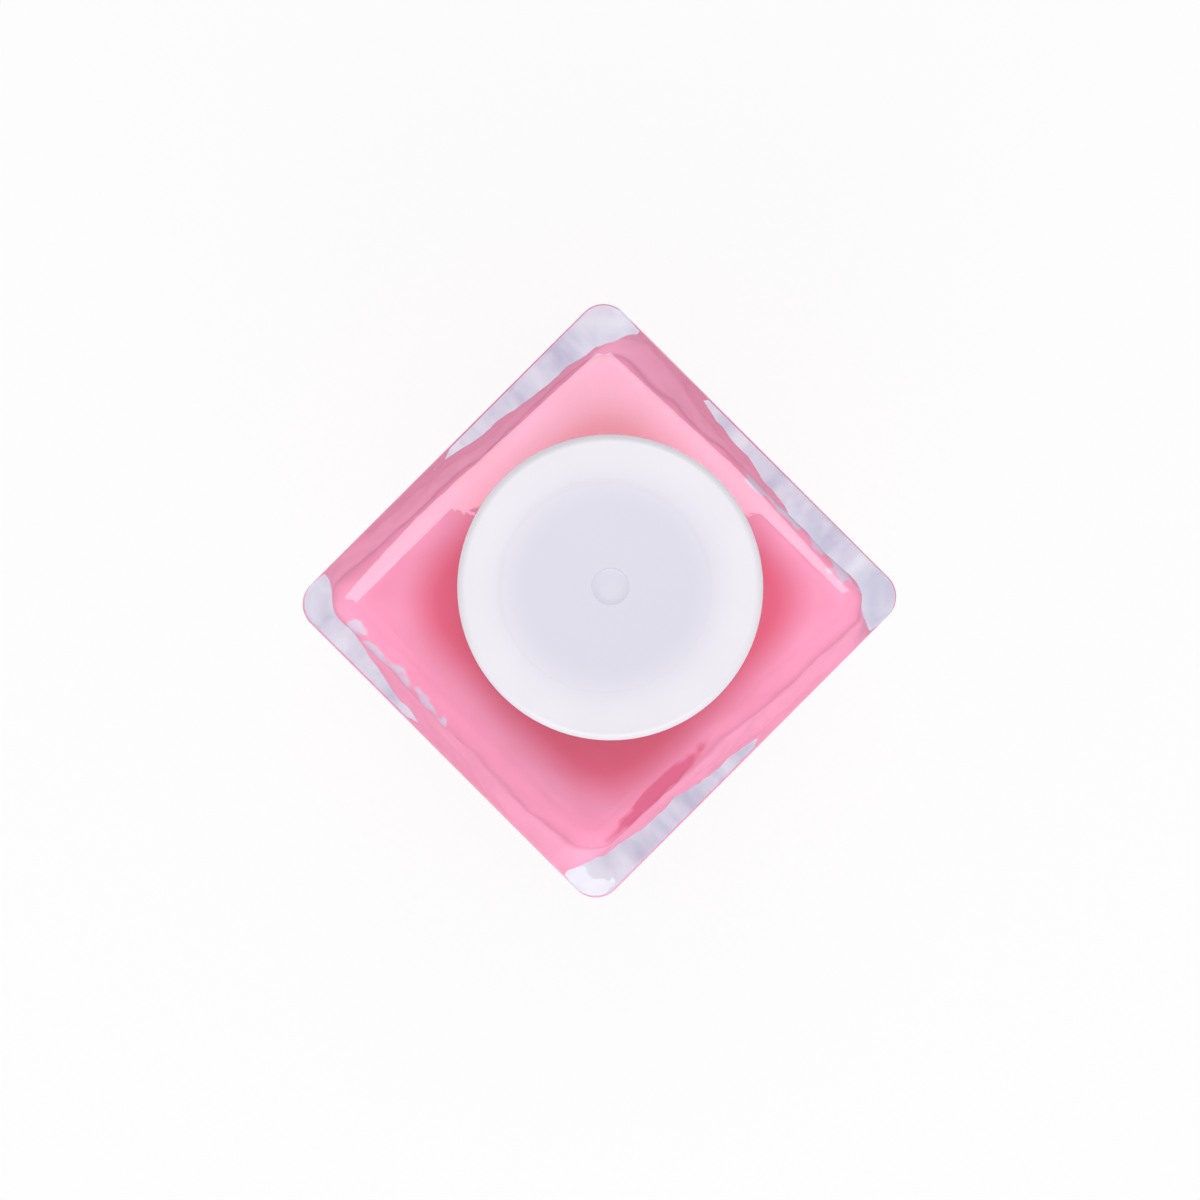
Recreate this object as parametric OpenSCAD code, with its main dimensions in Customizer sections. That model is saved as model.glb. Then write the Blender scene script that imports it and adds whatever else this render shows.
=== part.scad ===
// Square nail polish bottle with its brush fixed in a tall screw cap.
// Millimetres, +Z up. The origin is the centre of the foot, on the table.
// Turning the closure anticlockwise, seen from above, unscrews it.

/* [Glass body] */
// Width across the flat sides, along X
body_w = 31.6; // [30:0.2:34]
// Depth across the flat sides, along Y
body_d = 32.4; // [30:0.2:34]
// Height of the flat shoulder above the table
body_h = 33.5; // [33:0.5:36]
// Radius of the four upright corners
corner_r = 2; // [1.6:0.1:3]
// Rounding of the shoulder's rim
shoulder_round = 0.8; // [0.6:0.1:1.5]
// Rounding of the foot
foot_round = 0.8; // [0.5:0.1:1.2]
// Thickness of the heavy glass base
base_thick = 8; // [7:0.5:9]
// Thickness of the side walls, before the inside is turned
wall = 1.9; // [1.8:0.1:2.6]
// Thickness of the glass shoulder
shoulder_thick = 4; // [3.5:0.5:5]
// Radius of the inside's upright corners
cavity_corner_r = 3; // [3:0.1:4]
// Clockwise turn of the inside against the outside, left by the blow mould
cavity_twist = 3; // [0:0.5:4]
// Depth of the recess under the base
push_up = 0.6; // [0.4:0.1:1]

/* [Threaded neck] */
// Height of the neck above the shoulder
neck_h = 11.3; // [11:0.1:11.6]
// Outside radius of the neck between the threads
neck_r = 5.7; // [5.6:0.05:5.8]
// Radius of the bore that the brush passes through
bore_r = 3.8; // [3.4:0.1:4]
// Radius over the thread's crest
thread_crest_r = 6.5; // [6.4:0.05:6.55]
// Rise of the thread in one turn, 12 threads to the inch
lead = 2.117; // [2.117:0.001:2.117]

/* [Contents] */
// Volume of polish in the bottle, in millilitres
fill_ml = 13.5; // [12:0.5:14]
// Thickness of the film of polish that clings to the glass above the level
film = 0.3; // [0.2:0.05:0.4]
// Radius of each mixing ball
ball_r = 2; // [1.8:0.1:2.2]

/* [Cap] */
// Height of the outer cap
cap_h = 37.5; // [35:0.5:40]
// Outside radius of the cap at its lower edge
cap_base_r = 9.9; // [9.8:0.05:10.2]
// Outside radius of the cap just below its top
cap_top_r = 9.65; // [9.5:0.05:9.8]
// Rounding of the cap's top edge
cap_round = 0.8; // [0.6:0.1:1]
// Gap between the cap's lower edge and the shoulder
cap_gap = 0.5; // [0.4:0.1:1]

/* [Brush] */
// Radius of the stem just under its flange
stem_top_r = 1.8; // [1.7:0.05:2]
// Radius of the stem at its lower end
stem_end_r = 1.5; // [1.5:0.05:1.7]
// Length of the bristles below the stem
bristle_length = 13; // [11:0.5:13.5]
// Height of the bristles' tips above the inside floor
tip_lift = 1.5; // [1.5:0.1:2.5]

/* [Hidden] */
$fn = 64;
HULL_FN = 32;                              // facets round a hulled shape
TOUCH = 0.02;                              // gap between pieces that rest on each other
CUT = 1;                                   // how far a cutting shape runs past what it cuts

// Inside of the glass
cavity_w = body_w - 2*wall;
cavity_d = body_d - 2*wall;
cavity_floor = base_thick;
cavity_top = body_h - shoulder_thick;
cavity_floor_round = 2.8;                  // under cavity_corner_r, as is the one above
cavity_top_round = 2.6;
throat_r = 7;                              // where the shoulder's underside starts up to the bore
throat_h = 2.8;
recess_r = 12.5;

// Neck, heights above the table
lip_z = body_h + neck_h;
lip_round = 0.4;
neck_chamfer = 1;
bead_r = 7.1;                              // ring that the bottle is carried by in the glassworks
bead_z = body_h + 1.3;
bead_h = 1.4;
bead_chamfer = 0.3;

// Threads: both helices share one axis, lead and start, half a turn apart
thread_segments = 32;                      // sections in one turn
thread_bury = 0.4;                         // how far a thread's root lies inside its wall
thread_root_half = 0.62;                   // half the thread's width where it meets the wall
thread_crest_half = 0.32;                  // half its width at the crest
thread_fade = 0.09;                        // part of a turn over which each end runs out
neck_thread_z = body_h + 6.6;              // middle of the neck's thread at its lower end
neck_thread_turns = 1.65;
cap_thread_from = 0.5;                     // turns round from the start of the neck's thread
cap_thread_turns = 1.4;
cap_thread_lift = 0.1;                     // the closed cap's thread bears up under the neck's
thread_play = 0.15;
thread_least = 0.05;                       // share of its full rise with which a thread's end starts
root_play = 0.05;                          // added at the neck's wall

// Closure, heights above the table
cap_bore_r = thread_crest_r + thread_play;
cap_crest_r = neck_r + thread_play + root_play;
liner_h = 0.8;
liner_r = 6.2;
liner_bore_r = 3.4;
liner_z = lip_z + TOUCH;
plate_z = liner_z + liner_h + TOUCH;
plate_h = 1.5;
skirt_z = body_h + 3.4;
skirt_r = 8.2;
knurl_count = 12;
knurl_r = 0.5;
knurl_reach = 0.25;                        // how far a rib stands out of the skirt
hub_r = 3.2;
hub_h = 5;
outer_z = body_h + cap_gap;
knurl_clear = 0.05;                        // between the ribs and the outer cap
outer_bore_r = skirt_r + knurl_reach + knurl_clear;
outer_top_h = 1.6;                         // thickness of the cap's closed top
outer_edge = 0.3;                          // chamfer of the lower edge
rib_count = 8;
rib_w = 0.8;
rib_depth = 2.5;
disc_r = 6.6;                              // shallow round panel in the cap's top
disc_depth = 0.12;
gate_r = 1.15;                             // mark where the plastic entered the mould
gate_depth = 0.08;

// Brush, heights above the table
tip_z = cavity_floor + tip_lift;
stem_z = tip_z + bristle_length;
flange_r = 3.1;
flange_h = liner_h;
flange_z = plate_z - flange_h;
shank_r = 1.5;
press_gap = 0.02;
socket_r = 1.15;                           // hole in the stem's end that takes the tuft
socket_h = 3.4;
staple_w = 2.6;
staple_t = 0.3;
staple_h = 1.2;
staple_z = stem_z + 1.4;
tuft_tip_x = 1.9;                          // half widths of the spread tuft
tuft_tip_y = 1.25;
tuft_spread_h = 2.2;                       // where the tuft is widest, above its tips
tuft_narrow_x = 0.6;                       // how much the rounded tip draws in below that
tuft_narrow_y = 0.4;

// Polish: the level follows from the volume
well_r = 2.2;                              // room for the brush to turn and rise in the polish
well_depth = 0.6;                          // room left under the tuft
well_z = tip_z - well_depth;
ball_clear = 0.05;
ball_spots = [[8.6, -7.6], [-7.2, 8.4]];
CORNER_LOSS = 4 - PI;                      // square less circle, for four corners of radius 1
FILLET_LOSS = 1 - PI/4;                    // square less quarter circle, for radius 1
cavity_area = cavity_w*cavity_d - CORNER_LOSS*pow(cavity_corner_r, 2);
floor_loss = 2*(cavity_w + cavity_d)*FILLET_LOSS*pow(cavity_floor_round, 2);
ball_volume = 4/3*PI*pow(ball_r, 3);
brush_volume = PI*pow(well_r, 2)*(stem_z - well_z);
polish_level = cavity_floor
    + (fill_ml*1000 + floor_loss + brush_volume + len(ball_spots)*ball_volume)/cavity_area;

// Label
label_r = 11.5;
label_h = 0.1;

// Quarter disc with its corner at the origin
module quarter(r) {
    intersection() {
        circle(r);
        square(r);
    }
}

// Carries a side profile round a rectangle with round corners. The profile's x runs outward
// from the centres of the corner arcs and its y runs up, so x = r is the outer face.
module around_square(w, d, r) {
    for (turn = [0, 180]) rotate(turn) {
        translate([w/2 - r, d/2 - r, 0]) {
            rotate_extrude(angle = 90) children();
            rotate([90, 0, 0]) linear_extrude(d - 2*r) children();
        }
        translate([-(w/2 - r), d/2 - r, 0]) {
            rotate(90) rotate_extrude(angle = 90) children();
            rotate([90, 0, 90]) linear_extrude(w - 2*r) children();
        }
    }
}

// Rounded-square block from z0 to z1. low and high are the roundings of its two rims.
module rounded_block(w, d, r, z0, z1, low, high) {
    around_square(w, d, r) {
        translate([0, z0 + low]) square([r, z1 - z0 - low - high]);
        translate([0, z0]) square([r - low, z1 - z0 - high]);
        translate([0, z0 + low]) square([r - high, z1 - z0 - low]);
        if (high > 0) translate([r - high, z1 - high]) quarter(high);
        if (low > 0) translate([r - low, z0 + low]) mirror([0, 1]) quarter(low);
    }
    translate([r - w/2, r - d/2, z0]) cube([w - 2*r, d - 2*r, z1 - z0]);
}

// Inside of the glass below the throat, made smaller all round by inset
module cavity_block(inset) {
    rotate(-cavity_twist)
        rounded_block(cavity_w - 2*inset, cavity_d - 2*inset, cavity_corner_r - inset,
            cavity_floor + inset, cavity_top - inset,
            cavity_floor_round - inset, cavity_top_round - inset);
}

// One section of a thread: four corners in the plane at this turn, root to crest
function thread_section(root_r, crest_r, z, turn, rise) =
    let (
        r = root_r + (crest_r - root_r)*rise,
        half = thread_root_half + (thread_crest_half - thread_root_half)*rise,
        side = crest_r > root_r ? 1 : -1
    )
    [for (p = [[root_r, -side*thread_root_half], [r, -side*half],
               [r, side*half], [root_r, side*thread_root_half]])
        [p[0]*cos(360*turn), p[0]*sin(360*turn), z + p[1]]];

// How far the crest has risen out of the wall at this turn, running out at both ends
function thread_rise(turn, turns) =
    max(thread_least, min(1, turn/thread_fade, (turns - turn)/thread_fade));

// A helical thread, right-handed, from the wall at root_r to its crest at crest_r
module thread(root_r, crest_r, z0, first_turn, turns) {
    steps = ceil(turns*thread_segments);
    sections = [for (i = [0:steps]) let (turn = turns*i/steps)
        thread_section(root_r, crest_r, z0 + lead*turn, first_turn + turn, thread_rise(turn, turns))];
    sides = [for (i = [0:steps - 1], k = [0:3]) let (a = 4*i + k, b = 4*i + (k + 1)%4)
        each [[a, b, a + 4], [b, b + 4, a + 4]]];
    polyhedron([for (s = sections) each s],
        concat([[3, 2, 1, 0]], sides, [[4*steps, 4*steps + 1, 4*steps + 2, 4*steps + 3]]));
}

// Neck above the shoulder, with its chamfered root, its carrying ring and its lip
module neck_outside() {
    rotate_extrude() {
        translate([0, body_h - CUT]) square([neck_r, neck_h + CUT - lip_round]);
        translate([0, body_h]) square([neck_r - lip_round, neck_h]);
        translate([neck_r - lip_round, lip_z - lip_round]) quarter(lip_round);
        polygon([[0, body_h - CUT], [neck_r + neck_chamfer + CUT, body_h - CUT],
            [neck_r, body_h + neck_chamfer], [0, body_h + neck_chamfer]]);
        polygon([[0, bead_z], [bead_r - bead_chamfer, bead_z], [bead_r, bead_z + bead_chamfer],
            [bead_r, bead_z + bead_h - bead_chamfer], [bead_r - bead_chamfer, bead_z + bead_h],
            [0, bead_z + bead_h]]);
    }
}

module glass_bottle() {
    color([0.86, 0.88, 0.93, 0.4])
    difference() {
        union() {
            rounded_block(body_w, body_d, corner_r, 0, body_h, foot_round, shoulder_round);
            neck_outside();
            thread(neck_r - thread_bury, thread_crest_r, neck_thread_z, 0, neck_thread_turns);
        }
        cavity_block(0);
        translate([0, 0, cavity_top - TOUCH]) cylinder(r1 = throat_r, r2 = bore_r, h = throat_h);
        translate([0, 0, cavity_top]) cylinder(r = bore_r, h = lip_z - cavity_top + CUT);
        translate([0, 0, -CUT]) cylinder(r = recess_r, h = push_up + CUT);
    }
}

// Liquid up to its level and the film above it, with room for the brush and the balls
module polish() {
    color([0.95, 0.62, 0.75])
    difference() {
        cavity_block(TOUCH);
        headspace();
        translate([0, 0, cavity_top - 2*film]) cylinder(r = throat_r, h = 4*film);
        translate([0, 0, well_z]) cylinder(r = well_r, h = polish_level);
        for (spot = ball_spots) translate(ball_centre(spot)) sphere(ball_r + ball_clear);
    }
}

// Air between the liquid and the film
module headspace() {
    inset = TOUCH + film;
    rotate(-cavity_twist)
        rounded_block(cavity_w - 2*inset, cavity_d - 2*inset, cavity_corner_r - inset,
            polish_level, cavity_top - inset, 0, cavity_top_round - inset);
}

function ball_centre(spot) = [spot[0], spot[1], cavity_floor + TOUCH + ball_r];

module mixing_balls() {
    color("silver") for (spot = ball_spots) translate(ball_centre(spot)) sphere(ball_r);
}

module base_label() {
    color("white") translate([0, 0, push_up - label_h]) cylinder(r = label_r, h = label_h);
}

module sealing_liner() {
    color("gainsboro") translate([0, 0, liner_z]) difference() {
        cylinder(r = liner_r, h = liner_h);
        translate([0, 0, -CUT]) cylinder(r = liner_bore_r, h = liner_h + 2*CUT);
    }
}

// Threaded closure: ribbed skirt, plate over the liner and a hub that grips the stem
module inner_cap() {
    top_z = plate_z + plate_h;
    color("ivory") {
        difference() {
            union() {
                translate([0, 0, skirt_z]) cylinder(r = skirt_r, h = top_z - skirt_z);
                for (i = [0:knurl_count - 1]) rotate(360*i/knurl_count)
                    translate([skirt_r + knurl_reach - knurl_r, 0, skirt_z + knurl_r])
                        cylinder(r = knurl_r, h = top_z - skirt_z - 2*knurl_r);
                translate([0, 0, plate_z]) cylinder(r = hub_r, h = plate_h + hub_h);
            }
            translate([0, 0, skirt_z - CUT]) cylinder(r = cap_bore_r, h = plate_z - skirt_z + CUT);
            translate([0, 0, plate_z - CUT])
                cylinder(r = shank_r + press_gap, h = plate_h + hub_h + 2*CUT);
        }
        cap_thread();
    }
}

// Same helix as the neck's thread, half a turn of lead away and growing inwards
module cap_thread() {
    thread(cap_bore_r + thread_bury, cap_crest_r,
        neck_thread_z + lead*(cap_thread_from - 0.5) + cap_thread_lift,
        cap_thread_from, cap_thread_turns);
}

// Tall shell with a closed top; ribs inside it stand on the inner cap
module outer_cap() {
    top_z = outer_z + cap_h;
    rib_z = plate_z + plate_h + TOUCH;
    color("white")
    difference() {
        rotate_extrude() {
            polygon([[0, outer_z], [cap_base_r - outer_edge, outer_z],
                [cap_base_r, outer_z + outer_edge], [cap_top_r, top_z - cap_round],
                [0, top_z - cap_round]]);
            translate([0, top_z - cap_round - CUT]) square([cap_top_r - cap_round, cap_round + CUT]);
            translate([cap_top_r - cap_round, top_z - cap_round]) quarter(cap_round);
        }
        difference() {
            translate([0, 0, outer_z - CUT]) cylinder(r = outer_bore_r, h = cap_h - outer_top_h + CUT);
            for (i = [0:rib_count - 1]) rotate(360*i/rib_count)
                translate([outer_bore_r - rib_depth, -rib_w/2, rib_z])
                    cube([rib_depth + CUT, rib_w, cap_h]);
        }
        translate([0, 0, top_z - disc_depth]) cylinder(r = disc_r, h = CUT);
        translate([0, 0, top_z - disc_depth - gate_depth]) cylinder(r = gate_r, h = CUT);
    }
}

// Rod with a flange under the inner cap's plate and a shank pressed through its hub
module brush_stem() {
    end_chamfer = 0.2;
    color("whitesmoke")
    difference() {
        rotate_extrude() {
            polygon([[0, stem_z], [stem_end_r - end_chamfer, stem_z],
                [stem_end_r, stem_z + end_chamfer], [stem_top_r, flange_z],
                [flange_r, flange_z], [flange_r, plate_z], [shank_r, plate_z],
                [shank_r, plate_z + plate_h + hub_h - end_chamfer],
                [shank_r - end_chamfer, plate_z + plate_h + hub_h], [0, plate_z + plate_h + hub_h]]);
        }
        translate([0, 0, stem_z - CUT]) cylinder(r = socket_r + press_gap, h = socket_h + CUT);
        staple_block(press_gap);
    }
}

// Flat wire across the stem, made larger all round by grow
module staple_block(grow) {
    translate([-staple_t/2 - grow, -staple_w/2 - grow, staple_z - grow])
        cube([staple_t + 2*grow, staple_w + 2*grow, staple_h + 2*grow]);
}

// Bundle of bristles: a round root in the stem, spreading to a flattened, rounded tip
module bristle_tuft() {
    color("gray")
    difference() {
        union() {
            translate([0, 0, stem_z - CUT/2]) cylinder(r = socket_r, h = socket_h + CUT/2 - TOUCH);
            hull() {
                translate([0, 0, stem_z - TOUCH]) cylinder(r = socket_r, h = TOUCH, $fn = HULL_FN);
                translate([0, 0, tip_z + tuft_spread_h]) scale([tuft_tip_x, tuft_tip_y, 1])
                    cylinder(r = 1, h = TOUCH, $fn = HULL_FN);
                translate([0, 0, tip_z]) scale([tuft_tip_x - tuft_narrow_x, tuft_tip_y - tuft_narrow_y, 1])
                    cylinder(r = 1, h = TOUCH, $fn = HULL_FN);
            }
        }
        staple_block(press_gap);
    }
}

module bristle_staple() {
    color("silver") staple_block(0);
}

glass_bottle();
polish();
mixing_balls();
base_label();
sealing_liner();
inner_cap();
outer_cap();
brush_stem();
bristle_tuft();
bristle_staple();
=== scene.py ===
"""Nail polish bottle: moulded glass, pink polish, white screw cap and its brush, with studio light."""
import math
import random

import bmesh
import bpy
from mathutils import Matrix, Vector, noise


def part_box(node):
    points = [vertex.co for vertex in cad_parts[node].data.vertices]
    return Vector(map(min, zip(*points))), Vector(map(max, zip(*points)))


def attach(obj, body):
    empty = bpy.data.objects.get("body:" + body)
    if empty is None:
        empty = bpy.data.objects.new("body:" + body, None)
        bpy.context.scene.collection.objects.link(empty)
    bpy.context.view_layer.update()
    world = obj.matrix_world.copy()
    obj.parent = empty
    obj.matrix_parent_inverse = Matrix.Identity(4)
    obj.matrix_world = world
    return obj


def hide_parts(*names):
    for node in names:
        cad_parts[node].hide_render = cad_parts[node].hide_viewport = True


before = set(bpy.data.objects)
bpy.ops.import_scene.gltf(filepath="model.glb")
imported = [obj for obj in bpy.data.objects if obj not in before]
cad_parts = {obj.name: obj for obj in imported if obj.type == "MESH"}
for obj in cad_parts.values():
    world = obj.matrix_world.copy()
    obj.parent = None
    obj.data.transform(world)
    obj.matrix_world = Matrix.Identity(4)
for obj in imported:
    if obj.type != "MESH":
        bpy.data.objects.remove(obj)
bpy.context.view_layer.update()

# ---------------------------------------------------------------- sizes, in metres
MM = 0.001
WELD = 0.0005 * MM                 # points closer than this are one
UP = Vector((0, 0, 1))

glass_low, glass_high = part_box("glass_bottle")
polish_low, polish_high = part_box("polish")
liner_low, liner_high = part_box("sealing_liner")
inner_low, inner_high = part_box("inner_cap")
outer_low, outer_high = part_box("outer_cap")
stem_low, stem_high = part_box("brush_stem")
tuft_low, tuft_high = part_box("bristle_tuft")
label_low, label_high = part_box("base_label")

TOUCH = 0.02 * MM                  # gap between pieces that rest on each other
BODY_W = glass_high[0] - glass_low[0]
BODY_D = glass_high[1] - glass_low[1]
LIP_Z = glass_high[2]
NECK_H = 11.3 * MM
SHOULDER_Z = LIP_Z - NECK_H
CORNER_R = 2.0 * MM
RIM_R = 0.2 * MM                   # rounding of the shoulder's rim
FOOT_R = 0.8 * MM
CROWN_W = 3.3 * MM                 # width of the fall from the flat shoulder to the walls
CROWN_START = math.radians(4.6)    # slope of the shoulder where the fall begins
CROWN_END = math.radians(14)       # and where it meets the rim
CROWN_STEPS = 10

CAVITY_CORNER_R = 2.2 * MM
CAVITY_FLOOR = polish_low[2] - TOUCH
CAVITY_TOP = polish_high[2] + TOUCH
CAVITY_FLOOR_R = 2.0 * MM
CAVITY_TOP_R = 1.4 * MM
WALL_HIGH, WALL_LOW = 2.1 * MM, 1.7 * MM     # glass beside the hollow at its ceiling and lower down
LEAN_HIGH = (0.05, 0.012)          # the hollow stands askew in the glass: how far its X sides lean
LEAN_LOW = (0.087, -0.087)         # along Y and its Y sides along X, at the ceiling and lower down
LEAN_FROM, LEAN_TO = 1.0 * MM, 6.0 * MM      # depths under the ceiling between which that changes
THROAT_R = 7.0 * MM
THROAT_H = 2.8 * MM
BORE_R = 3.8 * MM
THROAT = [(BORE_R, CAVITY_TOP + THROAT_H), (BORE_R + 0.3 * MM, CAVITY_TOP + THROAT_H * 0.75),
          (THROAT_R * 0.78, CAVITY_TOP + THROAT_H * 0.38), (THROAT_R, CAVITY_TOP)]
PUSH_UP = label_high[2]            # height of the recess under the base
RECESS_R = 12.5 * MM
MOULD_WAVES = ((9 * MM, 0.3 * MM, (0, 0, 0)), (3.2 * MM, 0.3 * MM, (7, 3, 1)),
               (1.3 * MM, 0.14 * MM, (2, 9, 4)))   # length, height and shift of each

NECK_R = 5.7 * MM
BEAD_R = 7.1 * MM
CREST_R = 6.5 * MM
LEAD = 2.117 * MM
THREAD_ROOT = 0.62 * MM            # half the thread's width at the neck
THREAD_CREST = 0.32 * MM           # and at its crest
NECK_THREAD_Z = SHOULDER_Z + 6.6 * MM
NECK_THREAD_TURNS = 1.65
CAP_THREAD_FROM = 0.5              # turns
CAP_THREAD_TURNS = 1.4
CAP_THREAD_LIFT = 0.1 * MM
THREAD_FADE = 0.09                 # turns over which a thread's end runs out
THREAD_MARGIN = 0.8 * MM           # height over and under a thread in which its rows lie

LEVEL = CAVITY_FLOOR + 17.7 * MM   # height of the liquid
FILM = 0.3 * MM
WELL_R = 2.2 * MM

PANEL_R = 6.6 * MM                 # shallow round panel in the cap's top
PANEL_SHIFT = 0.35 * MM            # it sits a little off the cap's axis
GATE_R = 1.15 * MM                 # mark where the plastic entered the mould

SHADE_OVAL_MIDDLE = (12.9 * MM, -7.0 * MM, CAVITY_TOP)   # a darker oval of painted shade on the polish's ceiling
SHADE_OVAL_REACH = (0.55 * MM, 5.0 * MM, 3.0 * MM)
PATCH_SIZE = 1.6 * MM              # of the ragged patches painted pale where the film of polish has run thin, and of the painted shade oval's ragged ends
FILM_EDGE = 13.9 * MM              # how far from the axis they begin, measured squarely
FILM_SQUARENESS = 12

COLUMNS = 400                      # points round every ring of the glass
CORNER_SHARE = 0.25                # part of them that goes round the corners


# ---------------------------------------------------------------- skins laid on rings
def circle_ring(r, z, centre=(0, 0)):
    """A level circle whose points face those of a square ring."""
    start = 0.125 - CORNER_SHARE / 8

    def point(turn):
        a = 2 * math.pi * (turn + start)
        return Vector((centre[0] + r * math.cos(a), centre[1] + r * math.sin(a), z))
    return point


def square_ring(w, d, r, z):
    """A level rectangle with round corners."""
    def point(turn):
        quarter = turn * 4
        corner = int(quarter) % 4
        t = quarter - int(quarter)
        on_arc = min(t / CORNER_SHARE, 1)
        along = max((t - CORNER_SHARE) / (1 - CORNER_SHARE), 0)
        cx, cy = w / 2 - r, d / 2 - r
        sx, sy = ((1, 1), (-1, 1), (-1, -1), (1, -1))[corner]
        a = math.pi / 2 * (corner + on_arc)
        p = Vector((sx * cx + r * math.cos(a), sy * cy + r * math.sin(a), z))
        if corner % 2 == 0:
            p.x -= sx * 2 * cx * along
        else:
            p.y -= sy * 2 * cy * along
        return p
    return point


def pole(z, centre=(0, 0)):
    """A ring shrunk to one point."""
    return lambda turn: Vector((centre[0], centre[1], z))


def arc(centre_r, centre_z, r, start, end, steps):
    """(radius, height) pairs along an arc; angles in degrees from straight outward."""
    return [(centre_r + r * math.cos(math.radians(start + (end - start) * i / steps)),
             centre_z + r * math.sin(math.radians(start + (end - start) * i / steps)))
            for i in range(steps + 1)]


def lay_grid(bm, rings, columns):
    """Lays the rows of a grid on the rings one after another, then welds its seam and poles."""
    rows = len(rings) - 1
    made = bmesh.ops.create_grid(bm, x_segments=columns, y_segments=rows, size=0.5)["verts"]
    for v in made:
        turn = round((v.co.x + 0.5) * columns) / columns % 1
        v.co = rings[round((v.co.y + 0.5) * rows)](turn)
    bmesh.ops.remove_doubles(bm, verts=made, dist=WELD)


def skin(rings, columns):
    """A closed skin through the rings."""
    bm = bmesh.new()
    lay_grid(bm, rings, columns)
    bmesh.ops.recalc_face_normals(bm, faces=bm.faces)
    return bm


def piece(name, bm, material, body, node, sharp=40):
    """Makes the finished object from its mesh, hangs it on its body and hides its CAD node in its place."""
    mesh = bpy.data.meshes.new(name)
    bm.to_mesh(mesh)
    bm.free()
    mesh.shade_smooth()
    mesh.set_sharp_from_angle(angle=math.radians(sharp))
    obj = bpy.data.objects.new(name, mesh)
    bpy.context.scene.collection.objects.link(obj)
    mesh.materials.append(material)
    weighted = obj.modifiers.new("face_weighted_shading", "WEIGHTED_NORMAL")
    weighted.keep_sharp = True
    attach(obj, body)
    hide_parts(node)
    return obj


# ---------------------------------------------------------------- shapes of the glass
def thread_height(z, turn, z0, first, turns):
    """How far a thread stands proud at this height and turn: 0 at the wall, 1 at the crest."""
    best = 0.0
    for k in range(-1, math.ceil(turns) + 2):
        t = (turn - first) % 1 + k
        if not 0 <= t <= turns:
            continue
        off = abs(z - z0 - LEAD * t)
        if off < THREAD_ROOT:
            rise = min(1, (THREAD_ROOT - off) / (THREAD_ROOT - THREAD_CREST))
            fade = min(1, t / THREAD_FADE, (turns - t) / THREAD_FADE)
            best = max(best, rise * fade)
    return best


def ring_turn(turn):
    """Turn about the upright axis, from +X, of a circle ring's point."""
    return (turn + 0.125 - CORNER_SHARE / 8) % 1


def neck_thread_ring(z):
    def point(turn):
        rise = thread_height(z, ring_turn(turn), NECK_THREAD_Z, 0, NECK_THREAD_TURNS)
        return circle_ring(NECK_R + (CREST_R - NECK_R) * rise, z)(turn)
    return point


def body_outside():
    """Base, foot, walls, rim and shoulder of the glass, from the middle of the base up."""
    hollow_edge = 0.3 * MM
    rings = [pole(PUSH_UP)]
    rings += [circle_ring(r, z) for r, z in (
        (RECESS_R - hollow_edge, PUSH_UP), (RECESS_R - hollow_edge / 4, PUSH_UP - hollow_edge / 4),
        (RECESS_R, PUSH_UP - hollow_edge), (RECESS_R + hollow_edge / 4, hollow_edge / 4),
        (RECESS_R + hollow_edge, 0))]
    for out, z in arc(-FOOT_R, FOOT_R, FOOT_R, -90, 0, 8):
        rings.append(square_ring(BODY_W + 2 * out, BODY_D + 2 * out, CORNER_R + out, z))
    strip = 0.06 * MM                  # one either side of the crease keeps it crisp
    crown = [(-CROWN_W - strip, SHOULDER_Z), (-CROWN_W, SHOULDER_Z),
             (-CROWN_W + strip, SHOULDER_Z - strip * math.tan(CROWN_START))]
    stride = (CROWN_W - strip - RIM_R * (1 - math.sin(CROWN_END))) / CROWN_STEPS
    for i in range(CROWN_STEPS):
        slope = CROWN_START + (CROWN_END - CROWN_START) * (i + 0.5) / CROWN_STEPS
        out, z = crown[-1]
        crown.append((out + stride, z - stride * math.tan(slope)))
    rim_z = crown[-1][1] - RIM_R * math.cos(CROWN_END)
    walls = 6
    for i in range(1, walls):
        z = FOOT_R + (rim_z - FOOT_R) * i / walls
        rings.append(square_ring(BODY_W, BODY_D, CORNER_R, z))
    for out, z in arc(-RIM_R, rim_z, RIM_R, 0, 90 - math.degrees(CROWN_END), 8):
        rings.append(square_ring(BODY_W + 2 * out, BODY_D + 2 * out, CORNER_R + out * 0.5, z))
    for out, z in crown[-2::-1]:
        rings.append(square_ring(BODY_W + 2 * out, BODY_D + 2 * out, CORNER_R + out * 0.5, z))
    return rings


def neck_outside():
    """Neck from the shoulder to the lip, with its carrying ring and its thread."""
    root = arc(NECK_R + 0.9 * MM, SHOULDER_Z + 0.9 * MM, 0.9 * MM, 270, 180, 6)
    bead_round = 0.35 * MM
    bead_low, bead_high = SHOULDER_Z + 1.3 * MM, SHOULDER_Z + 2.7 * MM
    bead = [(NECK_R, bead_low)]
    bead += arc(BEAD_R - bead_round, bead_low + bead_round, bead_round, -90, 0, 4)
    bead += arc(BEAD_R - bead_round, bead_high - bead_round, bead_round, 0, 90, 4)
    bead += [(NECK_R + 0.2 * MM, bead_high), (NECK_R, bead_high + 0.2 * MM)]
    rings = [circle_ring(r, z) for r, z in root + bead]
    start = NECK_THREAD_Z - THREAD_MARGIN
    end = NECK_THREAD_Z + LEAD * NECK_THREAD_TURNS + THREAD_MARGIN
    rows = 44
    rings += [neck_thread_ring(start + (end - start) * i / rows) for i in range(rows + 1)]
    lip_round = 0.4 * MM
    lip = arc(NECK_R - lip_round, LIP_Z - lip_round, lip_round, 0, 90, 5)
    lip += arc(BORE_R + lip_round, LIP_Z - lip_round, lip_round, 90, 180, 5)
    return rings + [circle_ring(r, z) for r, z in lip]


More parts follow.
